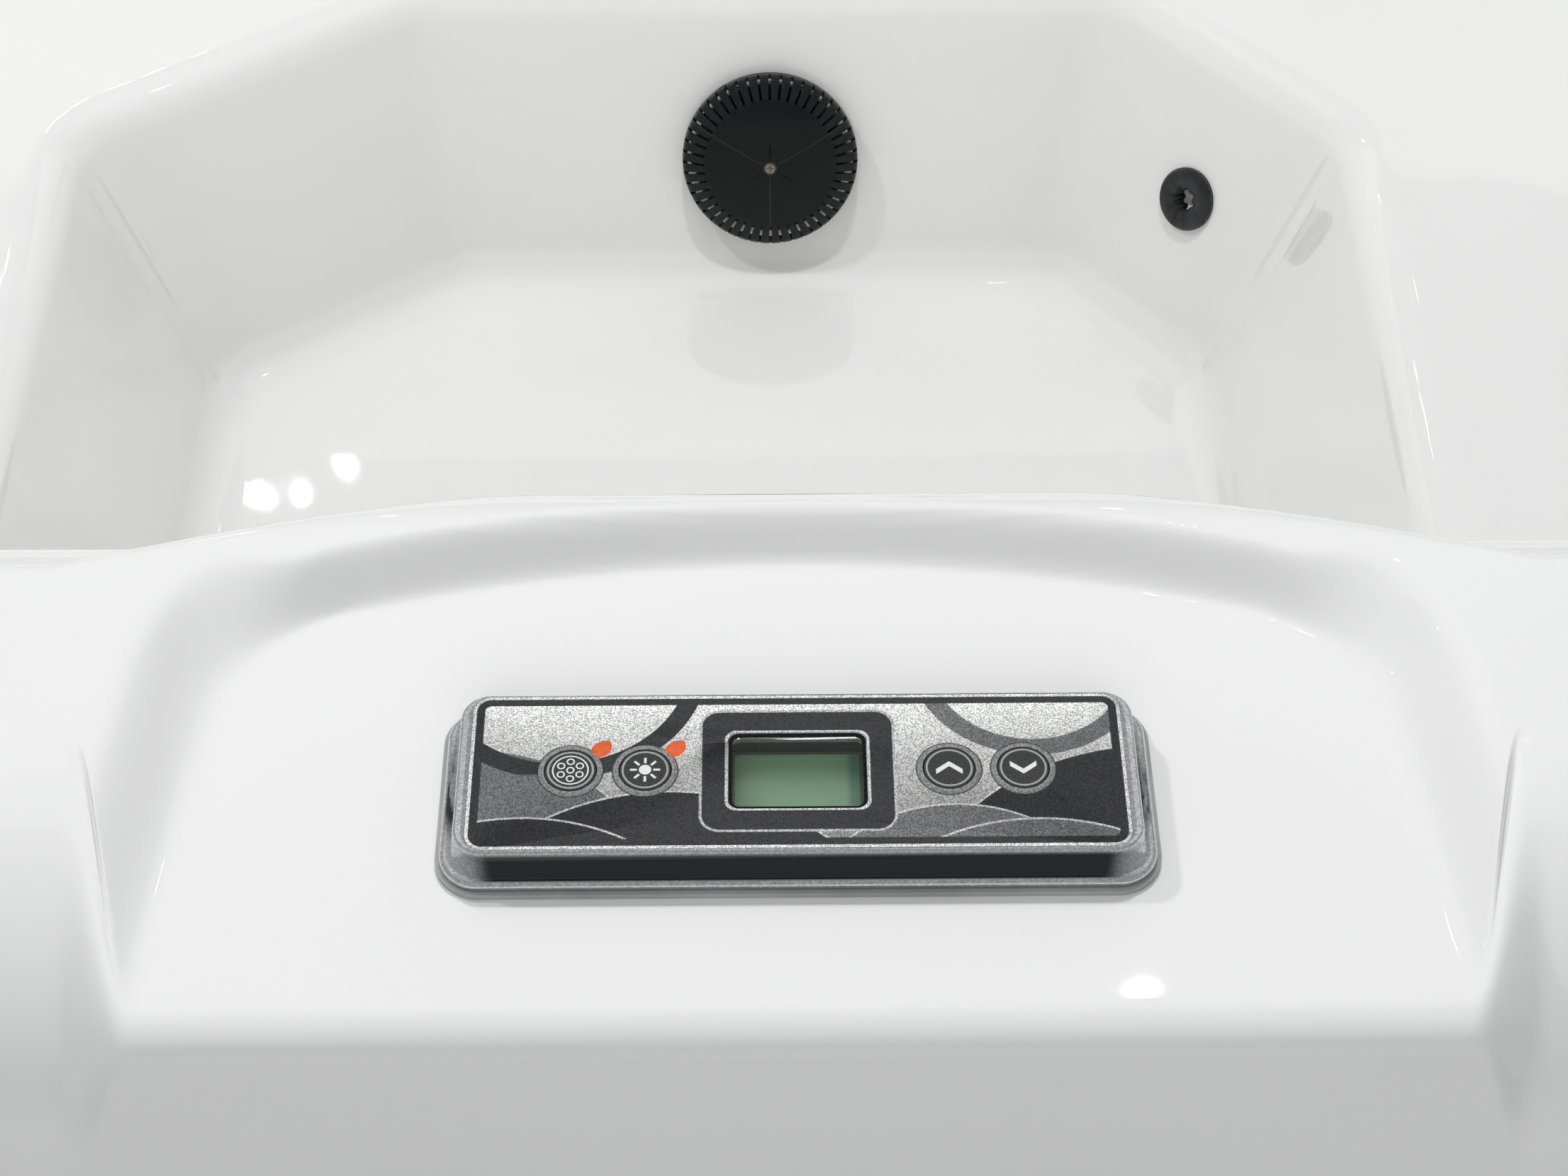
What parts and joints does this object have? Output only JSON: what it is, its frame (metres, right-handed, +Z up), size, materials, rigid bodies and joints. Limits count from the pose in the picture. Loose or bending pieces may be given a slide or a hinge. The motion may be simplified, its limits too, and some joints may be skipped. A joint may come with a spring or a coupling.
{
  "type": "hot tub",
  "caption": "Square acrylic hot tub with corner seats, a central footwell, a keypad recessed in the rim, wall jets, filter, pump, heater and a boarded cabinet.",
  "frame": {"origin": "centre of the footprint, on the ground under the base tray", "axes": "+Z up; +Y from the control panel side to the far side; +X to the right as seen from the control panel side"},
  "size_m": [2, 1.9, 0.9113],
  "materials": {
    "acrylic": "glossy white moulded acrylic",
    "cabinet": "grey synthetic boards with a light grain",
    "trim": "satin grey plastic",
    "tray": "black moulded tray",
    "timber": "treated softwood",
    "screw": "stainless steel",
    "bezel": "bright plated plastic",
    "gasket": "closed-cell foam and rubber",
    "overlay": "fine-grained printed face plate",
    "lens": "clear window",
    "amber": "translucent orange light",
    "display": "green liquid crystal display",
    "board": "circuit board",
    "key": "charcoal key with a pale symbol",
    "black_fitting": "satin black moulded plastic",
    "pipe": "white rigid pipe",
    "grey_plastic": "grey moulded plastic",
    "motor": "dark painted motor can",
    "rotor": "turned steel",
    "paper": "pleated filter cloth",
    "heater": "stainless heater tube"
  },
  "bodies": {
    "root": {"shell": "acrylic", "base_pan": "tray", "footwell_bearers": "timber", "seat_legs": "timber", "frame_posts": "timber", "top_rails": "timber", "skirt_front": "cabinet", "skirt_back": "cabinet", "skirt_left": "cabinet", "skirt_right": "cabinet", "skirt_corners": "trim", "skirt_screws": "screw", "panel_gasket": "gasket", "panel_housing": "bezel", "panel_overlay": "overlay", "panel_window": "lens", "panel_lamps": "amber", "lcd_module": "display", "circuit_board": "board", "key_switches": "black_fitting", "panel_back_cover": "black_fitting", "suction_cover": "black_fitting", "suction_screw": "screw", "suction_body": "black_fitting", "suction_nut": "black_fitting", "suction_gasket": "gasket", "return_fitting": "black_fitting", "return_nut": "black_fitting", "return_gasket": "gasket", "light_lens": "lens", "light_housing": "grey_plastic", "light_nut": "grey_plastic", "jet_bodies": "pipe", "jet_nuts": "grey_plastic", "air_valve_bodies": "grey_plastic", "air_valve_nuts": "grey_plastic", "filter_canister": "grey_plastic", "filter_cartridge": "paper", "pump_motor": "motor", "pump_volute": "black_fitting", "pump_base": "black_fitting", "control_box": "grey_plastic", "heater_tube": "heater", "suction_pipe": "pipe", "jet_pipe": "pipe", "return_pipe": "pipe"},
    "button_jets": {"button_jets": "key"},
    "button_light": {"button_light": "key"},
    "button_up": {"button_up": "key"},
    "button_down": {"button_down": "key"},
    "air_knob_left": {"air_knob_left": "grey_plastic"},
    "air_knob_right": {"air_knob_right": "grey_plastic"},
    "filter_lid": {"filter_lid": "grey_plastic"},
    "pump_rotor": {"pump_rotor": "rotor"},
    "jet_face_1": {"jet_face_1": "grey_plastic"},
    "jet_face_2": {"jet_face_2": "grey_plastic"},
    "jet_face_3": {"jet_face_3": "grey_plastic"},
    "jet_face_4": {"jet_face_4": "grey_plastic"},
    "jet_face_5": {"jet_face_5": "grey_plastic"},
    "jet_face_6": {"jet_face_6": "grey_plastic"}
  },
  "joints": [
    {"name": "button_jets_press", "type": "slide", "parent": "root", "child": "button_jets", "axis": [0, 0, -1], "range_m": [0, 0.0006], "stiffness_N_per_m": 800},
    {"name": "button_light_press", "type": "slide", "parent": "root", "child": "button_light", "axis": [0, 0, -1], "range_m": [0, 0.0006], "stiffness_N_per_m": 800},
    {"name": "button_up_press", "type": "slide", "parent": "root", "child": "button_up", "axis": [0, 0, -1], "range_m": [0, 0.0006], "stiffness_N_per_m": 800},
    {"name": "button_down_press", "type": "slide", "parent": "root", "child": "button_down", "axis": [0, 0, -1], "range_m": [0, 0.0006], "stiffness_N_per_m": 800},
    {"name": "jet_face_1_turn", "type": "hinge", "parent": "root", "child": "jet_face_1", "pos_m": [0.78542, -0.12, 0.52], "axis": [-0.9863, 0, 0.165], "range_deg": [-90, 90]},
    {"name": "jet_face_2_turn", "type": "hinge", "parent": "root", "child": "jet_face_2", "pos_m": [-0.12, 0.73542, 0.52], "axis": [0, -0.9863, 0.165], "range_deg": [-90, 90]},
    {"name": "jet_face_3_turn", "type": "hinge", "parent": "root", "child": "jet_face_3", "pos_m": [-0.78542, -0.12, 0.52], "axis": [0.9863, 0, 0.165], "range_deg": [-90, 90]},
    {"name": "jet_face_4_turn", "type": "hinge", "parent": "root", "child": "jet_face_4", "pos_m": [0.78542, 0.12, 0.52], "axis": [-0.9863, 0, 0.165], "range_deg": [-90, 90]},
    {"name": "jet_face_5_turn", "type": "hinge", "parent": "root", "child": "jet_face_5", "pos_m": [0.12, 0.73542, 0.52], "axis": [0, -0.9863, 0.165], "range_deg": [-90, 90]},
    {"name": "jet_face_6_turn", "type": "hinge", "parent": "root", "child": "jet_face_6", "pos_m": [-0.78542, 0.12, 0.52], "axis": [0.9863, 0, 0.165], "range_deg": [-90, 90]},
    {"name": "air_knob_left_turn", "type": "hinge", "parent": "root", "child": "air_knob_left", "pos_m": [-0.84656, -0.79656, 0.882], "axis": [0, 0, 1], "range_deg": [-90, 90]},
    {"name": "air_knob_right_turn", "type": "hinge", "parent": "root", "child": "air_knob_right", "pos_m": [0.84656, -0.79656, 0.882], "axis": [0, 0, 1], "range_deg": [-90, 90]},
    {"name": "filter_lid_turn", "type": "hinge", "parent": "root", "child": "filter_lid", "pos_m": [-0.84656, 0.79656, 0.882], "axis": [0, 0, 1], "range_deg": [0, 60]},
    {"name": "pump_rotor_spin", "type": "hinge", "parent": "root", "child": "pump_rotor", "pos_m": [0.375, -0.755, 0.118], "axis": [1, 0, 0], "continuous": true}
  ]
}
